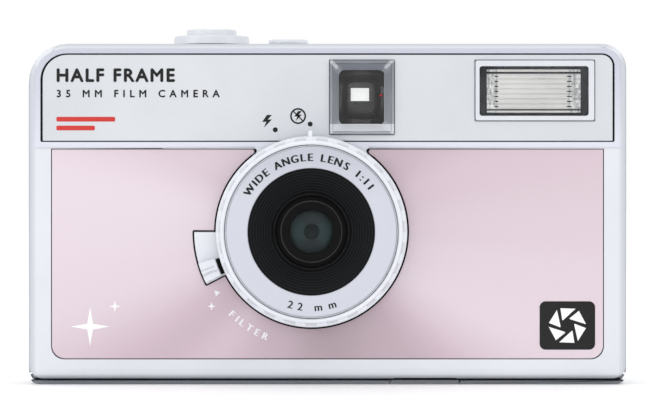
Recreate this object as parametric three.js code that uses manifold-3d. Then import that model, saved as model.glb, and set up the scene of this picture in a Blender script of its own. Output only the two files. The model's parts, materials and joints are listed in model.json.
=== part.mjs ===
// A compact half-frame film camera as an assembly of its separate pieces.
// Millimetres, +Z up. The lens looks along -Y, +X is to the right when the camera is seen from the front,
// and the origin is at the centre of the footprint, on the base.
import * as THREE from "three";
import { mergeVertices } from "three/addons/utils/BufferGeometryUtils.js";
import Module from "manifold-3d";

const wasm = await Module();
wasm.setup();

// Outer body.
const halfWidth = 55;
const height = 62.4;
const coverHalfWidth = 54.4;
const coverBottom = 1.05;
const coverTop = 62.1;
const lowerFaceY = -10;
const upperFaceY = -10.5;
const coverInnerY = -8.5;
const coverBackY = -3;
const housingFrontY = -2.7;
const housingRimY = 12;
const housingBackY = 18;
const doorBackY = 19.3;
const wall = 1.5;
const baseTop = 1.6;
const doorBottom = 1.9;
const doorTop = 50.3;
const ledgeBottom = 50.6;
const ledgeTop = 51.6;
// The top corner on the right, seen from the front, is rounded less than the left one.
const sideRadius = 7.2;
const sideRadiusRight = 4.5;
const footRadius = 2.4;

// Lens and the parts that turn round it.
const lens = { x: -2.9, z: 27.9 };
const frontY = -19.5;
const barrelRadius = 15.25;
const ringInner = 15.6;
const ringOuter = 17.05;
const gripCount = 27;
const gripHeight = 0.55;
const slotFrom = 180;
const slotTo = 206.9;
const knobFrom = 195.6;
const knobTo = 205.8;
const filterArmLength = 13;
const filterRestTurn = 32;

// Film path: a 24 mm high, 18 mm wide gate on the lens axis.
const filmY = 10.2;
const gate = { width: 18, height: 24 };
const cartridge = { x: 37.9, y: 5.2, r: 12.8 };
const spool = { x: -37, y: 7, r: 5.2 };
const sprocket = { x: -21.7, y: 4.2, r: 6.05, teeth: 8 };
const battery = { x: 17.8, y: -2.3, r: 5.4, wallR: 6 };

// Controls.
const wheel = { r: 12.5, low: 54.2, high: 59.2, notches: 24 };
const button = { x: -21.6, y: 5 };
const counter = { x: -7.3, y: 5, dialX: -11.4, dialR: 6.2 };
const hinge = { x: -53, y: 14.3, pinR: 0.75, holeR: 0.83 };
const tripod = { x: -2.9, y: 3, r: 3.2 };
const crank = { pivot: 5, pivotZ: 0.9, discR: 6.2, recessR: 6.5, knob: -3.9 };

// Windows in the upper front.
const finder = { x0: 0.3, x1: 12.2, z0: 45.5, z1: 59.1 };
const eyepiece = { x0: 2.2, x1: 9.6, z0: 51.7, z1: 56.9 };
const flash = { x0: 26.9, x1: 48.5, z0: 48.1, z1: 59 };
const lampX = 13.6;
const lampZ = 54.3;

const colours = {
  silver: [0xdde0e6, 0.34, 0.5],
  shell: [0xe9eef4, 0.42, 0.25],
  pink: [0xe4d0d8, 0.3, 0.6],
  black: [0x16171a, 0.6, 0],
  steel: [0xa9adb2, 0.35, 0.9],
  chrome: [0xc9ccd2, 0.15, 1],
  brass: [0xb08a45, 0.4, 0.9],
  clear: [0xdfe8ec, 0.06, 0],
  glass: [0x2c4038, 0.04, 0],
  amber: [0xd9481c, 0.3, 0],
  board: [0x1f5a38, 0.6, 0],
  foam: [0x222222, 0.95, 0],
};

const camera = new THREE.Group();

// Turns a closed geometry into a solid for joining and cutting.
function solid(geometry) {
  const source = geometry.clone();
  source.deleteAttribute("normal");
  source.deleteAttribute("uv");
  const merged = mergeVertices(source, 1e-4);
  const corners = merged.index.array;
  const kept = [];
  for (let i = 0; i < corners.length; i += 3) {
    const [a, b, c] = [corners[i], corners[i + 1], corners[i + 2]];
    if (a !== b && b !== c && c !== a) kept.push(a, b, c);
  }
  return new wasm.Manifold(
    new wasm.Mesh({
      numProp: 3,
      vertProperties: new Float32Array(merged.attributes.position.array),
      triVerts: new Uint32Array(kept),
    }),
  );
}

// Adds a solid to the camera as a named mesh with its own material.
function piece(name, shape, finish) {
  const data = shape.getMesh();
  const geometry = new THREE.BufferGeometry();
  geometry.setAttribute(
    "position",
    new THREE.BufferAttribute(data.vertProperties, 3),
  );
  geometry.setIndex(new THREE.BufferAttribute(data.triVerts, 1));
  geometry.computeVertexNormals();
  const [color, roughness, metalness] = colours[finish];
  const mesh = new THREE.Mesh(
    geometry,
    new THREE.MeshStandardMaterial({ color, roughness, metalness }),
  );
  mesh.name = name;
  camera.add(mesh);
}

const join = (...shapes) => shapes.reduce((all, shape) => all.add(shape));
const cut = (shape, ...tools) =>
  tools.reduce((left, tool) => left.subtract(tool), shape);

function box(x0, x1, y0, y1, z0, z1) {
  const geometry = new THREE.BoxGeometry(x1 - x0, y1 - y0, z1 - z0);
  geometry.translate((x0 + x1) / 2, (y0 + y1) / 2, (z0 + z1) / 2);
  return solid(geometry);
}

// Rods along each axis, from one end to the other.
function rodZ(x, y, r, z0, z1, sides = 16) {
  const geometry = new THREE.CylinderGeometry(r, r, z1 - z0, sides);
  geometry.rotateX(Math.PI / 2);
  geometry.translate(x, y, (z0 + z1) / 2);
  return solid(geometry);
}

function rodY(x, z, r, y0, y1, sides = 16) {
  const geometry = new THREE.CylinderGeometry(r, r, y1 - y0, sides);
  geometry.translate(x, (y0 + y1) / 2, z);
  return solid(geometry);
}

function rodX(y, z, r, x0, x1, sides = 16) {
  const geometry = new THREE.CylinderGeometry(r, r, x1 - x0, sides);
  geometry.rotateZ(Math.PI / 2);
  geometry.translate((x0 + x1) / 2, y, z);
  return solid(geometry);
}

// A rectangle whose corner radii run from the lower left, counter-clockwise.
function roundedRect(x0, z0, x1, z1, radii) {
  const [a, b, c, d] = radii;
  const shape = new THREE.Shape();
  shape.moveTo(x0 + a, z0);
  shape.lineTo(x1 - b, z0);
  if (b) shape.absarc(x1 - b, z0 + b, b, -Math.PI / 2, 0);
  shape.lineTo(x1, z1 - c);
  if (c) shape.absarc(x1 - c, z1 - c, c, 0, Math.PI / 2);
  shape.lineTo(x0 + d, z1);
  if (d) shape.absarc(x0 + d, z1 - d, d, Math.PI / 2, Math.PI);
  shape.lineTo(x0, z0 + a);
  if (a) shape.absarc(x0 + a, z0 + a, a, Math.PI, 1.5 * Math.PI);
  return shape;
}

// An outline in X and Z carried from yFront to yBack, with its edges rounded where a bevel is given.
function plateY(shape, yFront, yBack, bevel = 0, curveSegments = 4) {
  const geometry = new THREE.ExtrudeGeometry(shape, {
    depth: yBack - yFront - 2 * bevel,
    bevelEnabled: bevel > 0,
    bevelThickness: bevel,
    bevelSize: bevel,
    bevelOffset: -bevel,
    bevelSegments: 1,
    curveSegments,
  });
  geometry.rotateX(Math.PI / 2);
  geometry.translate(0, yBack - bevel, 0);
  return solid(geometry);
}

// An outline in X and Y carried from z0 to z1.
function plateZ(shape, z0, z1, curveSegments = 6) {
  const geometry = new THREE.ExtrudeGeometry(shape, {
    depth: z1 - z0,
    bevelEnabled: false,
    curveSegments,
  });
  geometry.translate(0, 0, z0);
  return solid(geometry);
}

// A turned part round the lens axis, from a closed profile of radius and Y.
function turned(profile, segments = 28) {
  const points = profile.map(([r, y]) => new THREE.Vector2(r, y));
  const closed = profile[0][0] > 0 ? [...points, points[0].clone()] : points;
  let shape = solid(new THREE.LatheGeometry(closed, segments));
  if (shape.volume() < 0)
    shape = solid(new THREE.LatheGeometry([...closed].reverse(), segments));
  return shape.translate([lens.x, 0, lens.z]);
}

// A turned part round an upright axis, from a closed profile of radius and Z.
function turnedZ(x, y, profile, segments = 20) {
  const points = profile.map(([r, z]) => new THREE.Vector2(r, z));
  const closed = profile[0][0] > 0 ? [...points, points[0].clone()] : points;
  const make = (line) => {
    const geometry = new THREE.LatheGeometry(line, segments);
    geometry.rotateX(Math.PI / 2);
    return solid(geometry);
  };
  let shape = make(closed);
  if (shape.volume() < 0) shape = make([...closed].reverse());
  return shape.translate([x, y, 0]);
}

const radians = (degrees) => (degrees * Math.PI) / 180;

// A piece of a flat ring round the lens axis, between two angles in degrees from +X towards +Z.
function lensSector(rIn, rOut, from, to, yFront, yBack, curveSegments = 3) {
  const shape = new THREE.Shape();
  shape.absarc(lens.x, lens.z, rOut, radians(from), radians(to), false);
  shape.absarc(lens.x, lens.z, rIn, radians(to), radians(from), true);
  return plateY(shape, yFront, yBack, 0, curveSegments);
}

const lensDisc = (r, y0, y1, sides = 36) =>
  rodY(lens.x, lens.z, r, y0, y1, sides);

// ---- Front

function decorOutline(gap) {
  const panel = roundedRect(-50.3 + gap, 4.65 + gap, 50.3 - gap, 43 - gap, [
    2.4, 2.4, 0.3, 0.3,
  ]);
  return cut(
    plateY(panel, lowerFaceY - 1, -9.2),
    lensDisc(17.8 + gap, -12, -8, 48),
    lensSector(17, 21.5 + gap, slotFrom - gap, slotTo + gap, -12, -8),
  );
}

function frontCover() {
  const outline = roundedRect(
    -coverHalfWidth,
    coverBottom,
    coverHalfWidth,
    coverTop,
    [footRadius, footRadius, sideRadiusRight - 0.2, sideRadius - 0.2],
  );
  const skin = join(
    plateY(outline, lowerFaceY, coverBackY + 2, 1.2),
    plateY(
      roundedRect(-53.6, 43.1, 53.6, 61.3, [0.5, 0.5, 3.5, 6.2]),
      upperFaceY,
      -8.8,
      0.4,
    ),
  );
  const inside = roundedRect(-53, 2.5, 53, 60.7, [1, 1, 5.6, 5.6]);
  const faceplateRecess = roundedRect(-52.2, 44.2, 52.2, 60.3, [
    0.3, 0.3, 2.3, 4.8,
  ]);
  const shell = cut(
    skin,
    box(-60, 60, coverBackY, 5, -1, 70),
    plateY(inside, coverInnerY, 0),
    plateY(faceplateRecess, -12, -9.6),
    decorOutline(0),
    lensDisc(15.8, -12, -8),
    lensSector(15.5, 17.9, slotFrom, slotTo, -12, -8),
    box(finder.x0 + 0.6, finder.x1 - 0.6, -12, -8, 46.1, 58.5),
    box(flash.x0 + 0.5, flash.x1 - 0.5, -12, -8, 48.6, 58.5),
    box(battery.x - 5.6, battery.x + 5.6, coverInnerY, -2, 0, 3),
  );
  piece("front_cover", shell, "shell");
  const faceplate = roundedRect(-51.9, 44.5, 51.9, 60, [0.2, 0.2, 2, 4.5]);
  piece(
    "top_faceplate",
    cut(
      plateY(faceplate, -10.4, -9.75),
      box(
        finder.x0 - 0.15,
        finder.x1 + 0.15,
        -12,
        -9,
        finder.z0 - 0.15,
        finder.z1 + 0.15,
      ),
      box(
        flash.x0 - 0.15,
        flash.x1 + 0.15,
        -12,
        -9,
        flash.z0 - 0.15,
        flash.z1 + 0.15,
      ),
    ),
    "silver",
  );
  piece(
    "decor_panel",
    decorOutline(0.15).intersect(box(-60, 60, -9.9, -9.35, 0, 60)),
    "pink",
  );
}

// ---- Viewfinder

function viewfinder() {
  const middle = [(finder.x0 + finder.x1) / 2, (finder.z0 + finder.z1) / 2];
  const funnel = plateY(
    roundedRect(2, 47.5, 10.3, 57.4, [0.5, 0.5, 0.5, 0.5]),
    -8.4,
    -8,
  );
  const flare = new THREE.CylinderGeometry(
    Math.SQRT2 * 4.1,
    Math.SQRT2 * 5.1,
    2.6,
    4,
  );
  flare.rotateY(Math.PI / 4);
  flare.scale(1, 1, 1.18);
  flare.translate(middle[0], -9.8, middle[1]);
  const bezel = cut(
    join(
      plateY(
        roundedRect(
          finder.x0,
          finder.z0,
          finder.x1,
          finder.z1,
          [0.5, 0.5, 0.5, 0.5],
        ),
        -11,
        -9.65,
      ),
      box(1.1, 11.4, -9.8, -8.6, 46.3, 58.3),
    ),
    solid(flare),
    funnel,
  );
  piece("viewfinder_bezel", bezel, "silver");
  const tunnel = cut(
    join(
      box(1, 11.5, -8.3, 6, 46.3, 58.6),
      box(1.5, 10.3, 5.5, 16.2, 50.9, 57.8),
    ),
    box(1.8, 10.7, -9, 5.2, 47.1, 57.8),
    box(2.2, 9.6, 5, 17, 51.7, 56.9),
  );
  piece("viewfinder_tunnel", tunnel, "black");
  const lensBlock = box(2, 10.5, -8.1, -6, 47.3, 57.6);
  const hollow = new THREE.SphereGeometry(16, 28, 20);
  hollow.translate(middle[0], 9.1, middle[1]);
  piece(
    "viewfinder_front_lens",
    cut(lensBlock, solid(hollow).intersect(box(0, 12, -8, 0, 44, 60))),
    "clear",
  );
  const rear = plateY(
    roundedRect(
      eyepiece.x0 + 0.2,
      eyepiece.z0 + 0.2,
      eyepiece.x1 - 0.2,
      eyepiece.z1 - 0.2,
      [0.4, 0.4, 0.4, 0.4],
    ),
    16.5,
    17.7,
  );
  piece("viewfinder_eyepiece", rear, "clear");
  piece(
    "flash_ready_lamp",
    join(
      rodY(lampX, lampZ, 1.1, 15.4, 18),
      rodY(lampX, lampZ, 1.6, 14.6, 15.6),
    ),
    "amber",
  );
}

// ---- Flash unit

// Half of the reflector's opening height at a depth, for a trough that closes at its back.
const troughHeight = (y, back, tall) =>
  tall * Math.sqrt(Math.max(0, (back - y) / (back + 9.4)));

function trough(back, tall, x0, x1) {
  const shape = new THREE.Shape();
  const steps = 6;
  const depths = Array.from(
    { length: steps + 1 },
    (_, i) => back - ((back + 9.4) * (i / steps) ** 2),
  );
  shape.moveTo(-53.4, back);
  for (const y of depths.slice(1))
    shape.lineTo(-53.4 + troughHeight(y, back, tall), y);
  for (const y of depths.slice(1).reverse())
    shape.lineTo(-53.4 - troughHeight(y, back, tall), y);
  const geometry = new THREE.ExtrudeGeometry(shape, {
    depth: x1 - x0,
    bevelEnabled: false,
  });
  geometry.rotateY(Math.PI / 2);
  geometry.translate(x0, 0, 0);
  return solid(geometry);
}

function flashUnit() {
  const frame = roundedRect(
    flash.x0,
    flash.z0,
    flash.x1,
    flash.z1,
    [0.4, 0.4, 0.4, 0.4],
  );
  piece(
    "flash_bezel",
    cut(plateY(frame, -10.9, -9.65), box(27.6, 47.5, -12, -9, 48.9, 58)),
    "clear",
  );
  piece("flash_window", box(27.8, 47.3, -10.6, -9.8, 49.1, 57.8), "clear");
  const reflector = cut(
    trough(-4.6, 3.5, 28, 47.2),
    trough(-5.1, 3.1, 28.5, 46.7),
    box(20, 60, -12, -9.35, 40, 70),
  );
  piece(
    "flash_reflector",
    join(reflector, box(30, 33, -4.9, -4.3, 52, 54.8)),
    "chrome",
  );
  piece("flash_tube", rodX(-6.9, 53.4, 1, 29.2, 46), "clear");
  piece("flash_capacitor", rodX(4, 57, 3.6, 24, 46, 24), "black");
  const board = cut(
    box(15, 52, -3.6, 15.5, 51.9, 52.9),
    rodZ(49, 12, 1, 50, 54, 12),
    rodZ(18, 12, 1, 50, 54, 12),
  );
  piece("flash_circuit_board", board, "board");
}

// ---- Lens group

function lensGroup() {
  piece(
    "lens_name_ring",
    turned(
      [
        [11.6, frontY],
        [15.3, frontY],
        [15.3, -18.7],
        [11.6, -18.7],
      ],
      36,
    ),
    "silver",
  );
  piece(
    "lens_barrel",
    turned(
      [
        [13.7, -18.4],
        [barrelRadius, -18.4],
        [barrelRadius, -8.7],
        [13.7, -8.7],
      ],
      36,
    ),
    "shell",
  );
  const steps = 2;
  const conePoints = (offset) =>
    Array.from({ length: steps + 1 }, (_, i) => [
      11.3 - (4.4 * i) / steps + offset,
      -18.9 + (4.7 * i) / steps,
    ]);
  piece(
    "lens_baffle",
    turned([
      ...conePoints(0),
      ...conePoints(0.8)
        .reverse()
        .map(([r, y], i) => [r, i < steps ? y + 0.2 : -18.3]),
      [13.3, -18.3],
      [13.3, -18.6],
      [11.3, -18.6],
    ]),
    "black",
  );
  piece(
    "lens_retaining_ring",
    turned([
      [3.95, -13.7],
      [6.6, -14.1],
      [6.6, -13.5],
      [3.95, -13.5],
    ]),
    "black",
  );
  piece(
    "front_lens_element",
    turned(
      [
        [0, -13.3],
        [2.6, -13.15],
        [5.1, -12.5],
        [5.1, -11.6],
        [0, -11.3],
      ],
      24,
    ),
    "glass",
  );
  piece(
    "aperture_plate",
    turned(
      [
        [1.4, -11.1],
        [5.1, -11.1],
        [5.1, -10.7],
        [1.4, -10.7],
      ],
      24,
    ),
    "black",
  );
  piece(
    "rear_lens_element",
    turned(
      [
        [0, -10.4],
        [5.1, -10.1],
        [5.1, -9.4],
        [2.6, -9.1],
        [0, -8.95],
      ],
      24,
    ),
    "glass",
  );
  piece(
    "lens_cell",
    turned([
      [5.35, -13.2],
      [7, -13.2],
      [7, -9.5],
      [13.4, -9.5],
      [13.4, -8.7],
      [5.35, -8.7],
    ]),
    "black",
  );
}

function flashSwitchRing() {
  const band = turned(
    [
      [ringInner, -19],
      [ringOuter - 0.5, -19],
      [ringOuter, -18.3],
      [ringOuter, -11],
      [ringInner, -11],
    ],
    36,
  );
  const pitch = 360 / gripCount;
  const halfGrip = 3.3;
  const grips = Array.from({ length: gripCount }, (_, i) =>
    lensSector(
      ringOuter - 0.4,
      ringOuter + gripHeight,
      90 + i * pitch - halfGrip,
      90 + i * pitch + halfGrip,
      -18,
      -11.4,
      1,
    ),
  );
  const pointer = box(
    lens.x - 0.37,
    lens.x + 0.37,
    -17.6,
    -12,
    lens.z + 17,
    lens.z + 18.3,
  );
  piece("flash_switch_ring", join(band, ...grips, pointer), "shell");
}

function starFilter() {
  const ring = lensSector(14, 17.4, 0, 359.9, -8.2, -7.4, 18);
  const close = lensSector(14, 17.4, -2, 2, -8.2, -7.4, 1);
  const neck = lensSector(16.4, 17.6, 196.4, 205, -10.7, -7.6, 2);
  const bridge = lensSector(16.4, 18.6, 196.4, 205, -10.7, -10.2, 2);
  const pad = lensSector(18.2, 21.3, knobFrom, knobTo, -12.3, -10.2, 3);
  piece(
    "star_filter_lever",
    join(ring, close, neck, bridge, pad),
    "shell",
  );
  const pivot = filterPivot();
  const direction = radians(120 - filterRestTurn);
  const eye = {
    x: pivot.x + filterArmLength * Math.cos(direction),
    z: pivot.z + filterArmLength * Math.sin(direction),
  };
  const bar = new THREE.BoxGeometry(filterArmLength, 0.6, 2);
  bar.translate(filterArmLength / 2, 0, 0);
  bar.rotateY(-direction);
  bar.translate(pivot.x, -6.8, pivot.z);
  const arm = cut(
    join(
      rodY(pivot.x, pivot.z, 1.9, -7.1, -6.5),
      solid(bar),
      rodY(eye.x, eye.z, 4.3, -7.1, -6.5),
    ),
    rodY(pivot.x, pivot.z, 0.95, -8, -6),
    rodY(eye.x, eye.z, 3.4, -8, -6),
  );
  piece("star_filter_arm", arm, "black");
  piece(
    "star_filter_glass",
    rodY(eye.x, eye.z, 3.25, -7, -6.6),
    "clear",
  );
}

function filterPivot() {
  return {
    x: lens.x + filterArmLength * Math.cos(radians(300)),
    z: lens.z + filterArmLength * Math.sin(radians(300)),
  };
}

function shutter() {
  const pivot = filterPivot();
  const bladePivot = { x: lens.x - 7.5, z: lens.z - 5 };
  const plate = roundedRect(-12.6, 12.4, 11, 43.4, [2, 2, 2, 2]);
  const base = join(
    cut(plateY(plate, -5.8, -4.7), lensDisc(2.6, -7, -4, 24)),
    rodY(pivot.x, pivot.z, 0.8, -7.3, -5.5, 16),
    rodY(bladePivot.x, bladePivot.z, 0.8, -6.3, -5.5, 16),
  );
  piece("shutter_base_plate", base, "black");
  const reach = Math.hypot(7.5, 5);
  const bar = new THREE.BoxGeometry(reach, 0.2, 2.2);
  bar.translate(reach / 2, 0, 0);
  bar.rotateY(-Math.atan2(5, 7.5));
  bar.translate(bladePivot.x, -6.15, bladePivot.z);
  const blade = cut(
    join(
      rodY(bladePivot.x, bladePivot.z, 1.8, -6.25, -6.05),
      solid(bar),
      rodY(lens.x, lens.z, 3.5, -6.25, -6.05),
    ),
    rodY(bladePivot.x, bladePivot.z, 0.95, -7, -5),
  );
  piece("shutter_blade", blade, "steel");
}

// ---- Main housing, base and back

function rearHousing() {
  const outline = roundedRect(-halfWidth, 0, halfWidth, height, [
    footRadius,
    footRadius,
    sideRadiusRight,
    sideRadius,
  ]);
  const inside = roundedRect(-53.5, -2, 53.5, height - wall, [0, 0, 5.8, 5.8]);
  const upperInside = roundedRect(-53.5, ledgeTop, 53.5, height - wall, [
    0.3, 0.3, 5.8, 5.8,
  ]);
  const skin = cut(
    plateY(outline, -4.5, housingBackY, 1),
    box(-60, 60, -6, housingFrontY, -2, 70),
    box(-60, 60, housingRimY, 20, -2, ledgeBottom),
    box(-60, 60, -6, 20, -2, doorBottom),
    plateY(inside, -4, housingRimY + 0.01),
    plateY(upperInside, 8, 16.5),
    box(1.2, 10.6, housingRimY, 16.5, 50, 52),
  );
  const holes = [
    rodZ(hinge.x, hinge.y, 3.2, -1, ledgeBottom, 28),
    rodZ(hinge.x, hinge.y, hinge.holeR, 40, 51.2, 16),
    box(spool.x - 8.3, spool.x + 8.3, 16, 20, 53.7, 59.7),
    box(eyepiece.x0, eyepiece.x1, 16, 20, eyepiece.z0, eyepiece.z1),
    rodY(lampX, lampZ, 1.25, 15, 20),
    rodZ(button.x, button.y, 5, 60, 64, 28),
    rodZ(counter.x, counter.y, 3.1, 60, 64, 28),
    box(-56, -53, 2, 9, 30, 40),
    rodZ(-54.15, 5.5, 0.72, 28.5, 41.5, 12),
    box(53.95, 56, 3, 10, 20, 38),
    box(53, 56, 5.4, 7.6, 21.4, 31.4),
  ];
  piece("rear_housing", cut(skin, ...holes), "shell");
  piece("strap_bar", rodZ(-54.15, 5.5, 0.66, 28.8, 41.2, 12), "chrome");
  piece(
    "door_latch",
    join(
      box(54.15, 54.85, 3.4, 9.6, 25, 37),
      box(53.1, 54.3, 5.7, 7.3, 26, 31),
      ...[28, 31, 34].map((z) => box(54.6, 55, 4.2, 8.8, z - 0.4, z + 0.4)),
    ),
    "black",
  );
}

function basePlate() {
  const outline = roundedRect(-halfWidth + 0.1, 0, halfWidth - 0.1, 20, [
    footRadius,
    footRadius,
    1,
    1,
  ]);
  const slab = join(
    plateY(outline, housingFrontY, 19.2).intersect(
      box(-60, 60, -9, 20, -1, baseTop),
    ),
    plateY(outline, -7.6, -2).intersect(box(-60, 60, -9, 20, -1, 0.75)),
    rodZ(cartridge.x, cartridge.y, crank.recessR + 0.4, 0.5, 4.6, 24),
    rodZ(hinge.x + 0.6, hinge.y, 1.5, 1, 1.7, 16),
  );
  const screwHoles = screwPlaces().flatMap(([x, y]) => [
    rodZ(x, y, 1.75, -1, 1, 12),
    rodZ(x, y, 0.95, -1, 3, 8),
  ]);
  const holes = [
    rodZ(cartridge.x, cartridge.y, crank.recessR, -1, 3.8, 24),
    rodZ(cartridge.x, cartridge.y, 2.2, 3, 6, 20),
    rodZ(tripod.x, tripod.y, 5.2, -1, 3, 20),
    rodZ(sprocket.x, sprocket.y, 2.2, -1, 3, 20),
    box(battery.x - 6.4, battery.x + 6.4, -9, 3.5, -1, 3),
    rodZ(hinge.x, hinge.y, hinge.holeR, 0.6, 3, 16),
  ];
  piece("base_plate", cut(slab, ...holes, ...screwHoles), "shell");
  piece(
    "battery_door",
    cut(
      box(battery.x - 6.2, battery.x + 6.2, -7.6, 3.3, 0, 0.8),
      ...[-5.4, -4, -2.6].map((y) =>
        box(battery.x - 3, battery.x + 3, y - 0.3, y + 0.3, -1, 0.35),
      ),
    ),
    "shell",
  );
  const socket = cut(
    rodZ(tripod.x, tripod.y, 5, 0.1, 7.5, 20),
    rodZ(tripod.x, tripod.y, tripod.r, -1, 6.6, 20),
  );
  piece("tripod_socket", socket, "brass");
  screwPlaces().forEach(([x, y], i) => {
    const screw = join(
      rodZ(x, y, 1.6, 0.15, 0.9, 12),
      rodZ(x, y, 0.8, 0.5, 4, 8),
    );
    const slots = [
      box(x - 1, x + 1, y - 0.2, y + 0.2, -1, 0.5),
      box(x - 0.2, x + 0.2, y - 1, y + 1, -1, 0.5),
    ];
    piece("base_screw_" + (i + 1), cut(screw, ...slots), "steel");
  });
}

function screwPlaces() {
  return [
    [-50.5, 0],
    [-50.5, 6.4],
    [50.5, 0],
    [50.5, 6.4],
  ];
}

function backDoor() {
  const plan = new THREE.Shape();
  plan.moveTo(hinge.x, 12.35);
  plan.lineTo(54.9, 12.35);
  plan.lineTo(54.9, 14.8);
  plan.absarc(50.4, 14.8, 4.5, 0, Math.PI / 2);
  plan.lineTo(-49.95, doorBackY);
  plan.absarc(-49.95, 14.35, 4.95, Math.PI / 2, Math.PI);
  plan.absarc(hinge.x, hinge.y, 1.9, Math.PI, 1.5 * Math.PI);
  const door = cut(
    plateZ(plan, doorBottom, doorTop, 6),
    box(-50.3, 53.3, 10, 17.9, 3.4, 48.8),
    rodZ(hinge.x, hinge.y, hinge.holeR, 0, 60, 16),
  );
  piece("back_door", door, "shell");
  piece(
    "door_hinge_pin",
    rodZ(hinge.x, hinge.y, hinge.pinR, 0.7, 51, 16),
    "steel",
  );
  const plate = roundedRect(lens.x - 15, lens.z - 17.4, lens.x + 15, 45.3, [
    2, 2, 2, 2,
  ]);
  piece("pressure_plate", plateY(plate, 11, 12, 0.2), "black");
  const bow = new THREE.Shape();
  bow.absarc(lens.x, 35.7, 23.4, radians(-122), radians(-58), false);
  bow.absarc(lens.x, 35.7, 23.1, radians(-58), radians(-122), true);
  const leaf = plateZ(bow, lens.z - 4, lens.z + 4, 8);
  piece("pressure_spring", leaf, "steel");
  piece("door_light_seal", box(-50, -48.4, 16, 17.8, 4, 48.2), "foam");
}

// ---- Film transport

function chassis() {
  const halfGate = gate.width / 2;
  const tall = gate.height / 2;
  const body = join(
    box(-52.9, 52.9, 8.6, filmY, 2, 50.2),
    box(24, 52.2, -8.2, filmY, 4.9, 50),
    box(-50.5, -13, -6.2, filmY, 4.4, 50),
    box(lens.x - 10.2, lens.x + 10.2, -3.6, 9, 14.7, 41.1),
    rodZ(battery.x, battery.y, battery.wallR, 2.8, 49, 24),
    box(battery.x, 24.5, 1, 3.4, 2.8, 49),
  );
  const hollows = [
    rodZ(cartridge.x, cartridge.y, cartridge.r, 5.5, 51, 32),
    box(cartridge.x - 12.8, cartridge.x + 12.8, 5.2, 11, 5.5, 51),
    rodZ(cartridge.x, cartridge.y, 2.4, 4, 6),
    rodZ(cartridge.x, cartridge.y, crank.recessR + 0.8, 1, 4.9, 24),
    box(-49.3, -14.2, -5, 11, 6, 48.8),
    rodZ(spool.x, spool.y, 2.3, 40, 52, 20),
    rodZ(spool.x, spool.y, 1.3, 4.9, 7, 16),
    rodZ(sprocket.x, sprocket.y, 1.7, 3, 52, 16),
    box(lens.x - halfGate, lens.x + halfGate, -5, 11, 15.9, lens.z + tall),
    rodZ(battery.x, battery.y, battery.r, 0, 47.8, 24),
  ];
  const rails = [14.6, 41.2].map((z) =>
    box(lens.x - 14, lens.x + 14, 10, 10.5, z - 0.5, z + 0.5),
  );
  piece("film_chassis", join(cut(body, ...hollows), ...rails), "black");
}

function helix(x, y, r, z0, z1, turns, wire, sides) {
  class Coil extends THREE.Curve {
    getPoint(t, target = new THREE.Vector3()) {
      const a = 2 * Math.PI * turns * t;
      return target.set(
        x + r * Math.cos(a),
        y + r * Math.sin(a),
        z0 + wire + (z1 - z0 - 2 * wire) * t,
      );
    }
  }
  const section = new THREE.Shape();
  section.absarc(0, 0, wire, 0, 2 * Math.PI);
  const geometry = new THREE.ExtrudeGeometry(section, {
    steps: Math.round(turns * 7),
    curveSegments: sides,
    extrudePath: new Coil(),
  });
  return solid(geometry);
}

function transport() {
  const reel = cut(
    join(
      rodZ(spool.x, spool.y, spool.r, 7, 48, 28),
      rodZ(spool.x, spool.y, 7.4, 6.6, 7.4, 28),
      rodZ(spool.x, spool.y, 7.4, 47.6, 48.4, 28),
      rodZ(spool.x, spool.y, 1.1, 5.2, 7, 16),
      rodZ(spool.x, spool.y, 2, 48, 53.9, 20),
    ),
    box(spool.x - 0.6, spool.x + 0.6, spool.y - 9, spool.y + 0.5, 14, 42),
  );
  piece("take_up_spool", reel, "black");
  const disc = rodZ(spool.x, spool.y, wheel.r - 0.5, wheel.low, wheel.high, 48);
  const notchAngle = (2 * Math.PI) / wheel.notches;
  const ribs = Array.from({ length: wheel.notches }, (_, i) => {
    const rib = new THREE.BoxGeometry(1, 0.9, wheel.high - wheel.low - 0.6);
    rib.translate(wheel.r - 0.5, 0, (wheel.high + wheel.low) / 2);
    rib.rotateZ(i * notchAngle);
    rib.translate(spool.x, spool.y, 0);
    return solid(rib);
  });
  piece("advance_wheel", join(disc, ...ribs), "black");
  const drum = turnedZ(sprocket.x, sprocket.y, [
    [0, 5.2],
    [1.5, 5.2],
    [1.5, 11],
    [sprocket.r, 11],
    [sprocket.r, 15.6],
    [4.6, 16.4],
    [4.6, 39.4],
    [sprocket.r, 40.2],
    [sprocket.r, 44.8],
    [1.5, 44.8],
    [1.5, 52],
    [0, 52],
  ]);
  const teeth = [13.8, 42].flatMap((z) =>
    Array.from({ length: sprocket.teeth }, (_, i) => {
      const tooth = new THREE.BoxGeometry(1.6, 1.2, 1.7);
      tooth.translate(sprocket.r, 0, z);
      tooth.rotateZ(((i + 0.5) * 2 * Math.PI) / sprocket.teeth);
      tooth.translate(sprocket.x, sprocket.y, 0);
      return solid(tooth);
    }),
  );
  piece("sprocket_drum", join(drum, ...teeth), "black");
  piece(
    "rewind_release_button",
    join(
      rodZ(sprocket.x, sprocket.y, 2, 0.2, 2.6, 20),
      rodZ(sprocket.x, sprocket.y, 2.8, 2, 2.8, 20),
    ),
    "black",
  );
  piece(
    "battery_contact_spring",
    helix(battery.x, battery.y, 2.6, 43.4, 47.6, 4, 0.3, 2),
    "steel",
  );
}

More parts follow.
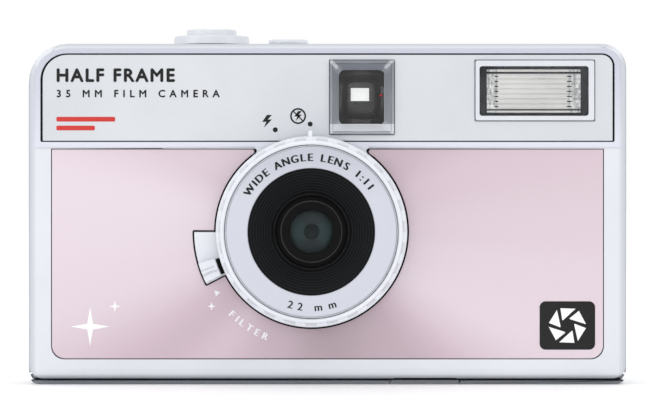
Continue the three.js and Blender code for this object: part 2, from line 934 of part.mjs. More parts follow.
function rewindCrank() {
  const { x, y } = cartridge;
  const pivotX = x + crank.pivot;
  const knobX = x + crank.knob;
  const shaft = cut(
    join(
      rodZ(x, y, crank.discR, 3, 3.6, 24),
      rodZ(x, y, 2, 3.3, 6.4),
      box(x - 2.3, x + 2.3, y - 0.5, y + 0.5, 6, 8.5),
      box(pivotX - 1, pivotX + 1, y - 0.9, y + 0.9, 0.4, 3.2),
    ),
    rodY(pivotX, crank.pivotZ, 0.5, 0, 10, 12),
  );
  piece("rewind_shaft", shaft, "black");
  const arm = cut(
    box(x - 5.6, x + 6, y - 1.9, y + 1.9, 0.3, 1.5),
    box(pivotX - 1.6, x + 7, y - 1.1, y + 1.1, 0, 2),
    rodY(pivotX, crank.pivotZ, 0.5, 0, 10, 12),
    rodZ(knobX, y, 0.75, 0, 2, 12),
  );
  piece("rewind_crank_arm", arm, "silver");
  piece(
    "crank_pivot_pin",
    rodY(pivotX, crank.pivotZ, 0.42, y - 1.8, y + 1.8, 12),
    "steel",
  );
  piece(
    "rewind_crank_knob",
    join(rodZ(knobX, y, 0.65, 0.5, 1.9, 12), rodZ(knobX, y, 1.5, 1.7, 2.8)),
    "black",
  );
}

// ---- Top controls

function topControls() {
  const { x, y } = button;
  piece(
    "button_collar",
    turnedZ(x, y, [
      [1.7, 59.4],
      [3.7, 59.4],
      [3.7, 60.9],
      [4.9, 60.9],
      [4.9, 62.5],
      [7.1, 62.5],
      [6.9, 64.1],
      [4.8, 64.1],
      [4.8, 61.6],
      [3.2, 61.6],
      [3.2, 59.8],
      [1.7, 59.8],
    ]),
    "silver",
  );
  piece(
    "shutter_button",
    turnedZ(x, y, [
      [0, 56.5],
      [1.4, 56.5],
      [1.4, 62.7],
      [4.65, 62.7],
      [4.65, 65],
      [4.3, 65.4],
      [0, 65.4],
    ]),
    "silver",
  );
  piece(
    "button_return_spring",
    helix(x, y, 2.3, 60, 62.4, 4, 0.2, 2),
    "steel",
  );
  piece(
    "counter_bezel",
    turnedZ(counter.x, counter.y, [
      [2.6, 61.2],
      [2.9, 61.2],
      [2.9, 62.6],
      [3.7, 62.9],
      [3.7, 63.3],
      [3.4, 63.5],
      [2.6, 63.5],
    ]),
    "silver",
  );
  piece(
    "counter_window",
    turnedZ(counter.x, counter.y, [
      [0, 61.3],
      [2.4, 61.3],
      [2.4, 63.1],
      [1.4, 63.4],
      [0, 63.5],
    ]),
    "clear",
  );
  piece(
    "counter_dial",
    join(
      rodZ(counter.dialX, counter.y, counter.dialR, 59.7, 60.5, 36),
      rodZ(counter.dialX, counter.y, 1.2, 57.5, 60, 16),
    ),
    "black",
  );
}

frontCover();
viewfinder();
flashUnit();
lensGroup();
flashSwitchRing();
starFilter();
shutter();
rearHousing();
basePlate();
backDoor();
chassis();
transport();
rewindCrank();
topControls();

export default camera;
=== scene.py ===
import json
import math

import bpy
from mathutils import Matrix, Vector


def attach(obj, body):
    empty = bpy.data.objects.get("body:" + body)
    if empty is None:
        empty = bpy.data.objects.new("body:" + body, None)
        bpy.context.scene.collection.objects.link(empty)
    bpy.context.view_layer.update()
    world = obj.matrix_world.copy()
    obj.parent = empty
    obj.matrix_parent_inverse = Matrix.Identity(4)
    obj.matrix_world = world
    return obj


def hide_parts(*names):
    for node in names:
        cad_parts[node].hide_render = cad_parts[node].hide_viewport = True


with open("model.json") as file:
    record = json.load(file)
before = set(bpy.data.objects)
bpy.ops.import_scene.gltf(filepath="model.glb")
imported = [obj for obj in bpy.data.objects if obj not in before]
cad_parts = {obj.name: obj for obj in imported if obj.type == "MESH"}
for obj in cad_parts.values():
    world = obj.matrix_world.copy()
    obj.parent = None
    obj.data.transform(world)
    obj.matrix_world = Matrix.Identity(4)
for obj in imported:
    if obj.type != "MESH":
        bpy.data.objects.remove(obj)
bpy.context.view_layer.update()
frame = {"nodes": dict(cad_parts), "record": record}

mm = 0.001
lensPlace = Vector((-2.9, 0, 27.9)) * mm
nodes = frame["nodes"]


# ---- modelling helpers: sizes are millimetres, as (low, high) pairs

def only(piece):
    bpy.ops.object.select_all(action="DESELECT")
    piece.select_set(True)
    bpy.context.view_layer.objects.active = piece


def settle(name):
    # the new primitive keeps its place in its mesh
    piece = bpy.context.active_object
    bpy.ops.object.transform_apply(location=True, rotation=True, scale=True)
    piece.name = name
    piece.data.name = name
    return piece


def block(name, x, y, z):
    bpy.ops.object.select_all(action="DESELECT")
    bpy.ops.mesh.primitive_cube_add(size=mm, location=[sum(pair) / 2 * mm for pair in (x, y, z)])
    bpy.context.active_object.scale = [pair[1] - pair[0] for pair in (x, y, z)]
    return settle(name)


def rod(name, centre, radius, depth, axis="Y", sides=48):
    turn = {"X": (0, math.pi / 2, 0), "Y": (math.pi / 2, 0, 0), "Z": (0, 0, 0)}[axis]
    bpy.ops.object.select_all(action="DESELECT")
    bpy.ops.mesh.primitive_cylinder_add(vertices=sides, radius=radius * mm, depth=depth * mm,
                                        location=[v * mm for v in centre], rotation=turn)
    return settle(name)


def pick(piece, kind, test):
    # leaves the piece in edit mode with what passes the test selected
    only(piece)
    kinds = ("vertices", "edges", "polygons")
    bpy.context.tool_settings.mesh_select_mode = [kind == each for each in kinds]
    bpy.ops.object.mode_set(mode="EDIT")
    bpy.ops.mesh.select_all(action="DESELECT")
    bpy.ops.object.mode_set(mode="OBJECT")
    for part in getattr(piece.data, kind):
        part.select = test(part)
    bpy.ops.object.mode_set(mode="EDIT")


def done():
    bpy.ops.object.mode_set(mode="OBJECT")


def ends(piece, edge):
    return [piece.data.vertices[i].co / mm for i in edge.vertices]


def roundEdges(piece, test, width, segments):
    # test gets the two ends of an edge in millimetres
    pick(piece, "edges", lambda edge: test(*ends(piece, edge)))
    bpy.ops.mesh.bevel(offset=width * mm, segments=segments, affect="EDGES", clamp_overlap=True)
    done()


def upright(a, b):
    return abs(a.x - b.x) < 0.01 and abs(a.z - b.z) < 0.01 and abs(a.y - b.y) > 0.01


def roundedBlock(name, x, y, z, corners, frontWidth=0, frontSegments=4, cornerSegments=12):
    # corners: radii bottom left, bottom right, top right, top left, seen from the front
    piece = block(name, x, y, z)
    places = [(x[0], z[0]), (x[1], z[0]), (x[1], z[1]), (x[0], z[1])]
    for (cx, cz), radius in zip(places, corners):
        if radius:
            roundEdges(piece, lambda a, b: upright(a, b) and abs(a.x - cx) < 0.01 and abs(a.z - cz) < 0.01,
                       radius, cornerSegments)
    if frontWidth:
        roundEdges(piece, lambda a, b: abs(a.y - y[0]) < 0.001 and abs(b.y - y[0]) < 0.001,
                   frontWidth, frontSegments)
    return piece


def boolean(piece, operation, *tools):
    for tool in tools:
        only(piece)
        change = piece.modifiers.new("shape", "BOOLEAN")
        change.operation = operation
        change.object = tool
        change.solver = "EXACT"
        bpy.ops.object.modifier_apply(modifier=change.name)
        bpy.data.objects.remove(tool)
    return piece


def cut(piece, *tools):
    return boolean(piece, "DIFFERENCE", *tools)


def join(piece, *others):
    only(piece)
    for other in others:
        other.select_set(True)
    bpy.ops.object.join()
    return piece


def lathe(name, profile, centre=None, axis="Y", steps=96, sweep=360, start=0, closed=True):
    # profile: (radius, place along the axis); the lens axis unless a centre is given
    hub = lensPlace if centre is None else Vector((centre[0], centre[1], 0)) * mm

    def place(radius, along):
        if axis == "Y":
            angle = math.radians(start)
            return hub + Vector((radius * math.cos(angle), along, radius * math.sin(angle))) * mm
        return hub + Vector((radius, 0, along)) * mm

    bpy.ops.object.select_all(action="DESELECT")
    bpy.ops.mesh.primitive_plane_add(size=mm, location=place(*profile[0]))
    piece = settle(name)
    bpy.context.tool_settings.mesh_select_mode = (True, False, False)
    bpy.ops.object.mode_set(mode="EDIT")
    bpy.ops.mesh.select_all(action="SELECT")
    bpy.ops.mesh.merge(type="CENTER")
    for before, after in zip(profile, profile[1:]):
        step = place(*after) - place(*before)
        bpy.ops.mesh.extrude_region_move(TRANSFORM_OT_translate={"value": step})
    if closed:
        first, last = place(*profile[0]), place(*profile[-1])
        done()
        pick(piece, "vertices", lambda v: min((v.co - first).length, (v.co - last).length) < 1e-7)
        bpy.ops.mesh.edge_face_add()
    bpy.ops.mesh.select_all(action="SELECT")
    spinAxis = (0, 1, 0) if axis == "Y" else (0, 0, 1)
    bpy.ops.mesh.spin(steps=steps, angle=math.radians(sweep), center=hub, axis=spinAxis)
    bpy.ops.mesh.select_all(action="SELECT")
    bpy.ops.mesh.remove_doubles(threshold=2e-6)
    if sweep < 360:
        capEnds(piece, hub, start, sweep)
        bpy.ops.mesh.select_all(action="SELECT")
    bpy.ops.mesh.normals_make_consistent(inside=False)
    done()
    return piece


def onEnd(piece, edge, hub, degrees):
    angle = math.radians(degrees)
    normal = Vector((-math.sin(angle), 0, math.cos(angle)))
    sides = [piece.data.vertices[i].co - hub for i in edge.vertices]
    along = Vector((math.cos(angle), 0, math.sin(angle)))
    return all(abs(s.dot(normal)) < 2e-6 and s.dot(along) > 0 for s in sides)


def capEnds(piece, hub, start, sweep):
    # a sector gets a flat face on each of its two ends
    for degrees in (start, start + sweep):
        done()
        pick(piece, "edges", lambda e: onEnd(piece, e, hub, degrees))
        bpy.ops.mesh.edge_face_add()


def sector(name, rIn, rOut, start, end, y, steps=24):
    return lathe(name, [(rIn, y[0]), (rOut, y[0]), (rOut, y[1]), (rIn, y[1])],
                 steps=steps, sweep=end - start, start=start)


def flat(name, outline, y, thick=0.04):
    # a flat sign: a filled outline, (x, z) pairs, given its thickness
    bpy.ops.object.select_all(action="DESELECT")
    first = Vector((outline[0][0], y, outline[0][1])) * mm
    bpy.ops.mesh.primitive_plane_add(size=mm, location=first)
    piece = settle(name)
    bpy.context.tool_settings.mesh_select_mode = (True, False, False)
    bpy.ops.object.mode_set(mode="EDIT")
    bpy.ops.mesh.select_all(action="SELECT")
    bpy.ops.mesh.merge(type="CENTER")
    for before, after in zip(outline, outline[1:]):
        step = Vector((after[0] - before[0], 0, after[1] - before[1])) * mm
        bpy.ops.mesh.extrude_region_move(TRANSFORM_OT_translate={"value": step})
    bpy.ops.mesh.select_all(action="SELECT")
    bpy.ops.mesh.edge_face_add()
    bpy.ops.mesh.extrude_region_move(TRANSFORM_OT_translate={"value": (0, thick * mm, 0)})
    bpy.ops.mesh.select_all(action="SELECT")
    bpy.ops.mesh.normals_make_consistent(inside=False)
    done()
    return piece


def soften(piece, width=0.12, segments=2, angle=35, clamp=False):
    # a small round on every sharp edge, with flat faces kept flat in the shading
    only(piece)
    bpy.ops.object.shade_smooth()
    if width:
        edge = piece.modifiers.new("edge", "BEVEL")
        edge.width = width * mm
        edge.segments = segments
        edge.limit_method = "ANGLE"
        edge.angle_limit = math.radians(angle)
        edge.use_clamp_overlap = clamp
        bpy.ops.object.modifier_apply(modifier=edge.name)
    level = piece.modifiers.new("flats", "WEIGHTED_NORMAL")
    level.weight = 80
    bpy.ops.object.modifier_apply(modifier=level.name)
    return piece


def refined(node, width, clamp=False):
    # a CAD node's own shape, merged, with rounded edges
    piece = bpy.data.objects.new(node + "_finished", nodes[node].data.copy())
    bpy.context.scene.collection.objects.link(piece)
    only(piece)
    bpy.ops.object.mode_set(mode="EDIT")
    bpy.ops.mesh.select_all(action="SELECT")
    bpy.ops.mesh.remove_doubles(threshold=2e-6)
    bpy.ops.mesh.tris_convert_to_quads(face_threshold=math.radians(1), shape_threshold=math.pi)
    done()
    return soften(piece, width, clamp=clamp)


def finish(piece, material, body, slot, *stoodFor):
    piece.data.materials.clear()
    piece.data.materials.append(material)
    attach(piece, body)
    if stoodFor:
        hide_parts(*stoodFor)
    return piece


# ---- shader helpers

class Wire:
    def __init__(self, tree, socket):
        self.tree = tree
        self.socket = socket

    def node(self, kind, settings=None, sockets=None, output=0):
        made = self.tree.nodes.new("ShaderNode" + kind)
        for key, value in (settings or {}).items():
            if key == "stops":
                while len(made.color_ramp.elements) < len(value):
                    made.color_ramp.elements.new(0.5)
                for stop, (place, colour) in zip(made.color_ramp.elements, value):
                    stop.position = place
                    stop.color = (*colour, 1)
            else:
                setattr(made, key, value)
        for key, value in (sockets or {}).items():
            self.plug(value, made.inputs[key])
        return Wire(self.tree, made.outputs[output])

    def plug(self, value, entry):
        if isinstance(value, Wire):
            self.tree.links.new(value.socket, entry)
        else:
            entry.default_value = value

    def maths(self, operation, first, second=0.0, clamp=False):
        return self.node("Math", {"operation": operation, "use_clamp": clamp}, {0: first, 1: second})

    def __add__(self, other): return self.maths("ADD", self, other)
    def __sub__(self, other): return self.maths("SUBTRACT", self, other)
    def __mul__(self, other): return self.maths("MULTIPLY", self, other)
    def __truediv__(self, other): return self.maths("DIVIDE", self, other)
    def __gt__(self, other): return self.maths("GREATER_THAN", self, other)
    def __lt__(self, other): return self.maths("LESS_THAN", self, other)

    def blend(self, low, high):
        # this value mixes two colours
        return self.node("Mix", {"data_type": "RGBA"}, {0: self, 6: low, 7: high}, 2)

    def noise(self, scale, detail=3.0, roughness=0.5):
        sockets = {"Vector": self, "Scale": scale, "Detail": detail, "Roughness": roughness}
        return self.node("TexNoise", {}, sockets)

    def spread(self, low, high, newLow=0.0, newHigh=1.0):
        return self.node("MapRange", {"clamp": True}, {0: self, 1: low, 2: high, 3: newLow, 4: newHigh})


def colour(red, green, blue, alpha=1.0):
    # display colour 0..255 to linear
    def linear(value):
        value = value / 255
        return value / 12.92 if value < 0.04045 else ((value + 0.055) / 1.055) ** 2.4
    return (linear(red), linear(green), linear(blue), alpha)


class Finish:
    def __init__(self, name, **fixed):
        self.material = bpy.data.materials.new(name)
        self.material.use_nodes = True
        self.tree = self.material.node_tree
        self.shader = self.tree.nodes["Principled BSDF"]
        for key, value in fixed.items():
            self.shader.inputs[key.replace("_", " ")].default_value = value
        self.place = Wire(self.tree, None).node("TexCoord", output=3)
        self.normal = None

    def split(self):
        apart = self.place.node("SeparateXYZ", {}, {0: self.place}).socket.node
        return [Wire(self.tree, socket) for socket in apart.outputs]

    def set(self, **links):
        for key, value in links.items():
            self.place.plug(value, self.shader.inputs[key.replace("_", " ")])

    def bump(self, height, strength, distance):
        sockets = {"Height": height, "Strength": strength, "Distance": distance * mm}
        if self.normal:
            sockets["Normal"] = self.normal
        self.normal = self.place.node("Bump", {}, sockets)
        self.set(Normal=self.normal)

    def lensPolar(self):
        # distance from the lens axis in metres, and angle about it in radians, from the right, upwards
        x, y, z = self.split()
        x = x - lensPlace.x
        z = z - lensPlace.z
        radius = self.place.maths("SQRT", x * x + z * z)
        return radius, self.place.maths("ARCTAN2", z, x), x, z


def paint(name, low, high, roughness, grain=2600, grainDepth=0.02, patch=38, **fixed):
    # moulded or painted skin: fine grain, slow colour drift, a little handling wear in the gloss
    made = Finish(name, **fixed)
    drift = made.place.noise(patch, 3.0)
    fine = made.place.noise(grain, 2.0)
    smear = made.place.noise(patch * 7, 5.0, 0.7)
    made.set(Base_Color=drift.spread(0.3, 0.7).blend(low, high),
             Roughness=smear.spread(0.3, 0.72, roughness - 0.05, roughness + 0.07))
    made.bump(fine, 0.35, grainDepth)
    made.bump(drift, 0.1, 0.02)
    return made


shellLook = {"low": colour(220, 224, 230), "high": colour(229, 232, 238), "roughness": 0.36}
ringPlastic = paint("satinRing", colour(226, 229, 236), colour(240, 243, 248), 0.3,
                    Coat_Weight=0.25, Coat_Roughness=0.18).material


def shellFinishWithPaintedShade(name, banded):
    # the raised band leans to lavender; painted shade: the rounded outer edges and the foot are darker than the
    # face, standing for the shade where they turn away from the light
    made = paint(name, **shellLook, Coat_Weight=0.18, Coat_Roughness=0.22)
    x, y, z = made.split()
    tone = Wire(made.tree, made.shader.inputs["Base Color"].links[0].from_socket)
    if banded:
        raised = (z > 43.05 * mm) * (y < -10.2 * mm)
        lavender = z.spread(44 * mm, 61 * mm).blend(colour(221, 224, 234), colour(198, 201, 214))
        tone = raised.blend(tone, lavender)
    # painted shade on the rounded sides and the top edge, at the front only
    side = made.place.maths("ABSOLUTE", x).spread(52.9 * mm, 54.7 * mm)
    rim = made.place.maths("MAXIMUM", side, z.spread(61.0 * mm, 62.3 * mm))
    # painted shade along the foot, where it curves under towards the floor
    foot = z.spread(0.9 * mm, 2.0 * mm, 1.0, 0.0) * (z > 0.03 * mm)
    ahead = y.spread(-4 * mm, 2 * mm, 1.0, 0.0)
    tone = (rim * ahead).blend(tone, colour(176, 180, 189))
    made.set(Base_Color=(foot * (y < -2.0 * mm)).blend(tone, colour(128, 132, 140)))
    return made.material


shellPaint = shellFinishWithPaintedShade("satinShell", False)
frontShellPaint = shellFinishWithPaintedShade("frontShellPaint", True)
blackPlastic = paint("blackMoulding", (0.011, 0.012, 0.014, 1), (0.02, 0.021, 0.024, 1), 0.5,
                     grain=3400, grainDepth=0.05).material
blackSmooth = paint("blackSatin", (0.003, 0.003, 0.0035, 1), (0.005, 0.005, 0.006, 1), 0.5,
                    Specular_IOR_Level=0.12).material
deepBlack = paint("deepBlack", (0.001, 0.001, 0.0012, 1), (0.002, 0.002, 0.0022, 1), 0.7,
                  Specular_IOR_Level=0.04).material


def baffleFinish():
    # fine turned steps, with a painted highlight: a lighter band on each step where its edge would catch light
    pitch = 0.489 * mm
    made = paint("baffleBlack", (0.003, 0.0035, 0.0045, 1), (0.005, 0.0055, 0.0065, 1), 0.5,
                 Specular_IOR_Level=0.12)
    radius = made.lensPolar()[0]
    step = made.place.maths("SINE", radius * (2 * math.pi / pitch))
    plain = Wire(made.tree, made.shader.inputs["Base Color"].links[0].from_socket)
    made.set(Base_Color=step.spread(0.1, 1.0).blend(plain, (0.015, 0.017, 0.02, 1)))
    return made.material


baffleBlack = baffleFinish()
foam = paint("sealFoam", (0.008, 0.008, 0.008, 1), (0.02, 0.02, 0.02, 1), 0.9,
             grain=1800, grainDepth=0.2).material


def blastedSilver(name, low, high, roughness, metallic):
    made = Finish(name, Metallic=metallic)
    sparkle = made.place.noise(5200, 1.0)
    cloud = made.place.noise(55, 4.0)
    made.set(Base_Color=(cloud * 0.6 + sparkle * 0.4).spread(0.32, 0.68).blend(low, high),
             Roughness=cloud.spread(0.3, 0.7, roughness - 0.04, roughness + 0.05))
    made.bump(sparkle, 0.3, 0.02)
    return made.material


facePlateFinish = blastedSilver("blastedPlate", colour(208, 212, 217), colour(220, 223, 227), 0.42, 0.25)
silver = blastedSilver("satinSilver", colour(216, 219, 225), colour(232, 235, 240), 0.34, 0.4)


def nameRingFinish():
    # painted shade: the upper part of the ring is darker, standing for the shade on it
    made = Finish("nameRingSilver", Metallic=0.2)
    z = made.split()[2]
    sparkle = made.place.noise(5200, 1.0)
    low = z.spread(34 * mm, 42 * mm).blend(colour(205, 208, 218), colour(188, 191, 201))
    made.set(Base_Color=(sparkle * 0.25).blend(low, colour(226, 229, 238)),
             Roughness=sparkle.spread(0.3, 0.7, 0.36, 0.46))
    made.bump(sparkle, 0.3, 0.02)
    return made.material


nameRingSilver = nameRingFinish()


def finderSilver():
    # painted highlight and shade: the sill and the corner facets are painted lighter than the sides, and the top
    # darkest, as light falls on the slopes
    middle, sillEnds = (6.15 * mm, 52.45 * mm), (46.1 * mm, 47.45 * mm)
    facet = {"across": 4.2 * mm, "up": 5.05 * mm, "offset": 0.86 * mm, "half": 0.45 * mm}
    made = Finish("finderSilver", Metallic=0.45)
    x, y, z = made.split()
    sparkle = made.place.noise(5200, 1.0)
    sill = (z < sillEnds[1]) * (z > sillEnds[0])
    across = made.place.maths("ABSOLUTE", x - middle[0])
    up = made.place.maths("ABSOLUTE", z - middle[1])
    diagonal = made.place.maths("ABSOLUTE", up - across - facet["offset"]) < facet["half"]
    corner = (across > facet["across"]) * (up > facet["up"]) * diagonal
    light = made.place.maths("MAXIMUM", sill * 0.75, corner * 0.55)
    side = z.spread(46 * mm, 59 * mm).blend(colour(152, 155, 163), colour(122, 126, 134))
    tone = light.blend(side, colour(222, 224, 230))
    made.set(Base_Color=(sparkle * 0.12).blend(tone, colour(240, 240, 244)),
             Roughness=sparkle.spread(0.3, 0.7, 0.32, 0.42))
    made.bump(sparkle, 0.3, 0.02)
    return made.material


markRed = paint("markRed", colour(196, 40, 36), colour(214, 52, 44), 0.4).material
markBlack = paint("markBlack", (0.006, 0.006, 0.007, 1), (0.01, 0.01, 0.011, 1), 0.45,
                  Specular_IOR_Level=0.3).material
markWhite = paint("markWhite", colour(246, 246, 248), colour(252, 252, 253), 0.45).material


def turnedMetal(name, low, high, roughness, scratch=900):
    made = Finish(name, Metallic=1.0)
    drawn = made.place.node("Mapping", {"vector_type": "POINT"}, {0: made.place, "Scale": (1, 1, 9)})
    grain = drawn.noise(scratch, 4.0)
    made.set(Base_Color=grain.spread(0.3, 0.7).blend(low, high),
             Roughness=grain.spread(0.3, 0.7, roughness - 0.06, roughness + 0.08))
    made.bump(grain, 0.2, 0.01)
    return made.material


steel = turnedMetal("plainSteel", (0.42, 0.42, 0.44, 1), (0.62, 0.62, 0.64, 1), 0.3)
brass = turnedMetal("turnedBrass", (0.55, 0.38, 0.16, 1), (0.75, 0.55, 0.28, 1), 0.28)
chrome = turnedMetal("platedReflector", (0.8, 0.79, 0.75, 1), (0.9, 0.89, 0.86, 1), 0.12)


def clear(name, tint, roughness=0.02, ior=1.49):
    made = Finish(name, Transmission_Weight=1.0, IOR=ior)
    cloud = made.place.noise(90, 3.0)
    made.set(Base_Color=cloud.spread(0.3, 0.7).blend(tint, [c * 0.97 for c in tint[:3]] + [1]),
             Roughness=cloud.spread(0.3, 0.7, roughness, roughness + 0.02))
    return made.material


def glaze(name, tint, alpha, gloss=1.0):
    # thin clear cover: mostly let through, with its own shine
    made = Finish(name, Coat_Weight=gloss, Coat_Roughness=0.03)
    cloud = made.place.noise(90, 3.0)
    made.set(Base_Color=tint, Alpha=cloud.spread(0.3, 0.7, alpha, alpha + 0.05),
             Roughness=cloud.spread(0.3, 0.7, 0.05, 0.12))
    return made.material


windowGlaze = glaze("windowGlaze", (0.6, 0.62, 0.65, 1), 0.02, 0.1)
clearPlastic = clear("clearMoulding", (0.97, 0.98, 0.98, 1))
finderGlass = clear("finderGlass", (0.97, 0.98, 0.98, 1), 0.0, 1.49)
finderGlass.node_tree.nodes["Principled BSDF"].inputs["Specular IOR Level"].default_value = 0.08
flashFrameClear = clear("smokyFrame", (0.86, 0.87, 0.9, 1), 0.12)
coatedGlass = clear("coatedGlass", (0.62, 0.78, 0.74, 1), 0.01, 1.6)


def boardFinish():
    made = Finish("coatedBoard", Coat_Weight=0.5)
    apart = made.place.node("Mapping", {}, {0: made.place, "Scale": (420, 420, 420)})
    lines = apart.node("TexVoronoi", {"feature": "DISTANCE_TO_EDGE"}, {"Vector": apart, "Scale": 1.0})
    track = lines < 0.06
    made.set(Base_Color=track.blend((0.01, 0.11, 0.045, 1), (0.03, 0.26, 0.12, 1)),
             Roughness=track.spread(0, 1, 0.5, 0.3))
    made.bump(track, 0.4, 0.03)
    return made.material


def lampFinish():
    made = Finish("readyLamp", Transmission_Weight=0.35, Coat_Weight=0.6)
    cloud = made.place.noise(700, 2.0)
    made.set(Base_Color=cloud.spread(0.3, 0.7).blend((0.7, 0.06, 0.02, 1), (0.9, 0.16, 0.05, 1)),
             Roughness=cloud.spread(0.3, 0.7, 0.15, 0.3))
    return made.material


def pinkFinish():
    # spun sheet, with a painted sheen: sectors of painted highlight and shade fan out from the lens, standing in
    # for the spun metal's reflection, over fine circular brushing
    made = Finish("spunPinkPaintedSheen", Metallic=0.2, Coat_Weight=0.15, Coat_Roughness=0.3)
    radius, angle = made.lensPolar()[:2]
    turnFraction = angle / (2 * math.pi) + 0.5
    # painted highlight and shade by degrees about the lens, counter-clockwise from the right
    fan = {0: 0.75, 20: 0.6, 42: 0.33, 95: 0.62, 148: 0.7, 170: 1.0, 180: 0.97, 195: 0.9, 220: 0.4,
           232: 0.6, 252: 0.35, 277: 0.0, 305: 0.2, 335: 0.92, 350: 0.85}
    stops = sorted(((degrees / 360 + 0.5) % 1.0, level) for degrees, level in fan.items())
    stops = [(at, (level, level, level)) for at, level in stops + [(1.0, fan[180])]]
    shade = turnFraction.node("ValToRGB", {"stops": stops}, {0: turnFraction})
    shade.socket.node.color_ramp.interpolation = "EASE"
    ripple = made.place.node("CombineXYZ", {}, {0: radius * 2600, 1: angle * 0.35}).noise(1.0, 3.0)
    level = shade + (ripple - 0.5) * 0.1
    tones = [(0.0, colour(183, 164, 172)[:3]), (0.5, colour(209, 188, 198)[:3]), (1.0, colour(230, 216, 224)[:3])]
    tone = level.node("ValToRGB", {"stops": tones}, {0: level})
    made.set(Base_Color=tone, Roughness=ripple.spread(0.3, 0.7, 0.42, 0.52))
    made.bump(ripple, 0.25, 0.01)
    return made.material


def glowingCream():
    # painted glow: the reflector seen through the ribs is cream and glows faintly, as if lit; the ends are greyer,
    # with a fine prismatic break-up
    made = Finish("creamRibsPaintedGlow", Roughness=0.3, Coat_Weight=0.4, Emission_Strength=0.06)
    x, y, z = made.split()
    cloud = made.place.noise(160, 3.0)
    cream = cloud.spread(0.3, 0.7).blend(colour(200, 200, 197), colour(214, 214, 211))
    end = made.place.maths("ABSOLUTE", x - 37.4 * mm) > 6.5 * mm
    facets = made.place.node("Mapping", {}, {0: made.place, "Scale": (1, 1, 0.35)}).noise(2400, 2.0)
    broken = facets.spread(0.35, 0.65).blend(colour(120, 123, 124), colour(226, 227, 226))
    tone = (end * 0.8).blend(cream, broken)
    # painted glow: the same tone is given off as light
    made.set(Base_Color=tone, Emission_Color=tone)
    made.bump(cloud, 0.1, 0.02)
    return made.material


pink = pinkFinish()
creamRibsPaintedGlow = glowingCream()
recessGrey = paint("recessGrey", colour(8, 10, 13), colour(16, 20, 24), 0.5, Specular_IOR_Level=0.15).material
slotFinish = {
    "shell_plastic": shellPaint, "faceplate_metal": facePlateFinish, "decor_metal": pink,
    "bezel_metal": silver,
    "ring_plastic": ringPlastic, "flash_frame_plastic": flashFrameClear, "black_plastic": blackPlastic,
    "clear_plastic": clearPlastic, "lens_glass": coatedGlass, "reflector_chrome": chrome,
    "lamp_plastic": lampFinish(), "steel": steel, "brass": brass, "circuit_board": boardFinish(),
    "foam": foam,
}
for part in frame["record"]["subparts"]:
    node = nodes[part["node"]]
    for index in range(max(1, len(node.data.materials))):
        if node.data.materials:
            node.data.materials[index] = slotFinish[part["material_slot"]]
        else:
            node.data.materials.append(slotFinish[part["material_slot"]])


def irisFinish():
    # painted reflection: the coated glass's reflection, painted on the plate behind it, is green left and right,
    # greyer above, darker below
    made = Finish("irisPaintedReflection", Roughness=0.5, Specular_IOR_Level=0.1)
    radius, _, x, z = made.lensPolar()
    cloud = made.place.noise(420, 2.0)
    side = made.place.maths("ABSOLUTE", x / (radius + 1e-5)).spread(0.35, 0.95)
    grey = z.spread(-3.6 * mm, 2.5 * mm).blend(colour(30, 34, 38), colour(58, 62, 66))
    tone = (side * 0.8 + cloud * 0.2).blend(grey, colour(52, 71, 73))
    made.set(Base_Color=radius.spread(3.1 * mm, 4.1 * mm).blend(tone, colour(30, 33, 36)))
    made.bump(cloud, 0.05, 0.02)
    return made.material


# painted shade: the rear glass is an opaque near-black, standing for the dark inside of the camera seen through it
pupilFinish = paint("pupilGlass", colour(14, 16, 20), colour(20, 22, 27), 0.2,
                    Specular_IOR_Level=0.1).material
rimBrown = paint("rimBrown", colour(62, 54, 52), colour(84, 74, 70), 0.35).material
glassGlaze = glaze("glassGlaze", (0.16, 0.22, 0.22, 1), 0.02, 0.15)
print("finishes ready")


# ---- front shell, plate and panel

def arc(centre, radius, start, end, steps):
    # points (x, z) along an arc, start to end in degrees
    turns = [math.radians(start + (end - start) * i / steps) for i in range(steps + 1)]
    return [(centre[0] + radius * math.cos(a), centre[1] + radius * math.sin(a)) for a in turns]


def panelOutline(gap):
    # the panel in front view, less the lens hole and the lever's slot, with every corner rounded
    look = {"side": 50.3 - gap, "foot": 4.65 + gap, "head": 43 - gap, "corner": 2.4, "tip": 0.42}
    hub, hole, slotOut = (-2.9, 27.9), 17.55 + gap, 21.5 + gap
    drop = look["head"] - look["tip"] - hub[1]
    reach = math.sqrt((hole + look["tip"]) ** 2 - drop ** 2)
    lean = math.degrees(math.atan2(drop, reach))
    left, right = (hub[0] - reach, hub[1] + drop), (hub[0] + reach, hub[1] + drop)
    side, foot, corner = look["side"], look["foot"], look["corner"]
    return ([(side, look["head"])]
            + arc(right, look["tip"], 90, 180 + lean, 12)
            + arc(hub, hole, lean, -(360 - 206.9 - gap * 2), 90)
            + arc(hub, slotOut, 206.9 + gap * 2, 180 - gap * 2, 14)
            + arc(hub, hole, 180 - gap * 2, 180 - lean, 36)
            + arc(left, look["tip"], -lean, 90, 12)
            + [(-side, look["head"])]
            + arc((-side + corner, foot + corner), corner, 180, 270, 14)
            + arc((side - corner, foot + corner), corner, 270, 360, 14))


def web(name, side):
    # the band runs down between the ring and the panel's rounded tip; side is -1 left, 1 right
    look = {"head": 43.75, "tip": 0.42, "ring": 16.2, "hole": 17.55}
    drop = 43 - look["tip"] - 27.9
    reach = math.sqrt((look["hole"] + look["tip"]) ** 2 - drop ** 2)
    lean = math.degrees(math.atan2(drop, reach))
    shape = ([(reach, look["head"])] + arc((reach, 27.9 + drop), look["tip"], 90, 180 + lean, 12)
             + arc((0, 27.9), look["ring"], lean, 78, 8) + [(3.0, look["head"])])
    return soften(flat(name, [(-2.9 + side * x, z) for x, z in shape], -10.51, 1.3), 0.08, 2, 50)


